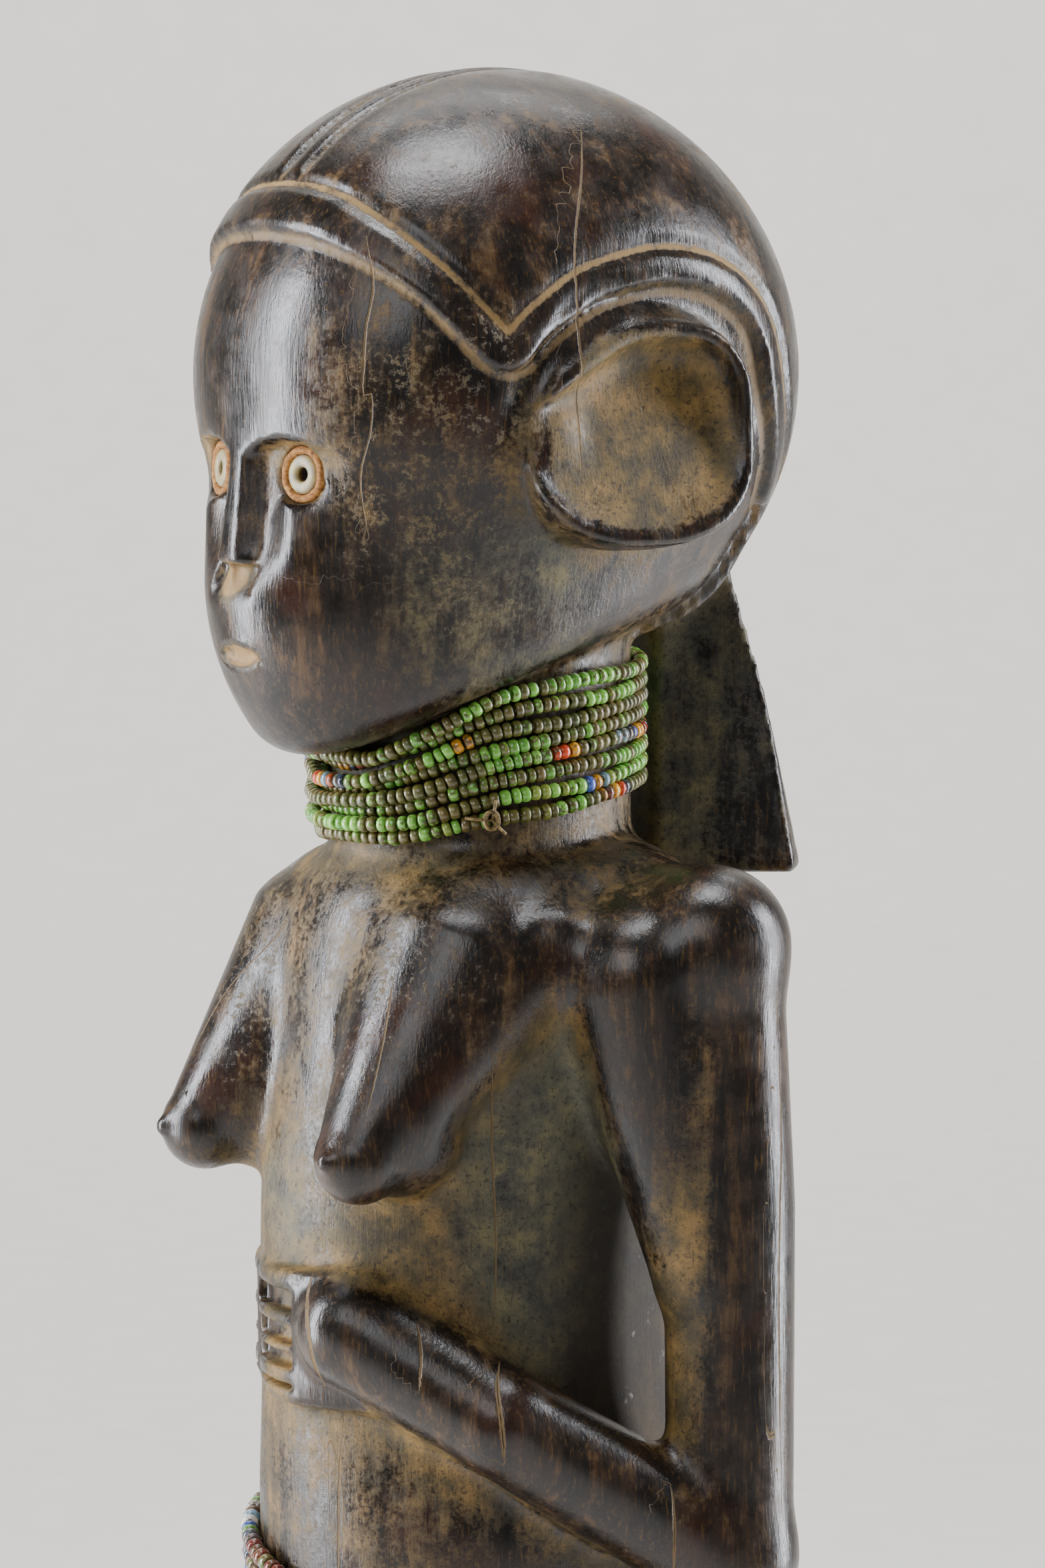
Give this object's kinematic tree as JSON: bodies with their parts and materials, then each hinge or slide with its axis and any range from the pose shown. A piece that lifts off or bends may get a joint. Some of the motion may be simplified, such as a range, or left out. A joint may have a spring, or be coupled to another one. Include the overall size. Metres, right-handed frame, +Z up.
{
  "type": "female tribal figure",
  "caption": "Standing female figure carved from dark hardwood on a low round base, with inlaid ring eyes and bead strings at neck and hips.",
  "frame": {"origin": "centre of the round base's flat underside", "axes": "+Z up along the figure, which faces -Y; its left hand is at +X"},
  "size_m": [0.1065, 0.0968, 0.4201],
  "materials": {
    "wood": "dark hardwood, hand polished, with ochre dust in the recesses",
    "resin": "dull ochre resin",
    "disc_bead": "worn pale disc bead",
    "neck_glass": "glossy opaque glass seed beads, green and dirt brown",
    "hip_glass": "glossy opaque glass seed beads in mixed colours"
  },
  "bodies": {
    "root": {"figure": "wood", "eye_resin_left": "resin", "eye_resin_right": "resin", "eye_disc_left": "disc_bead", "eye_disc_right": "disc_bead", "neck_beads": "neck_glass", "hip_beads": "hip_glass"}
  },
  "joints": []
}
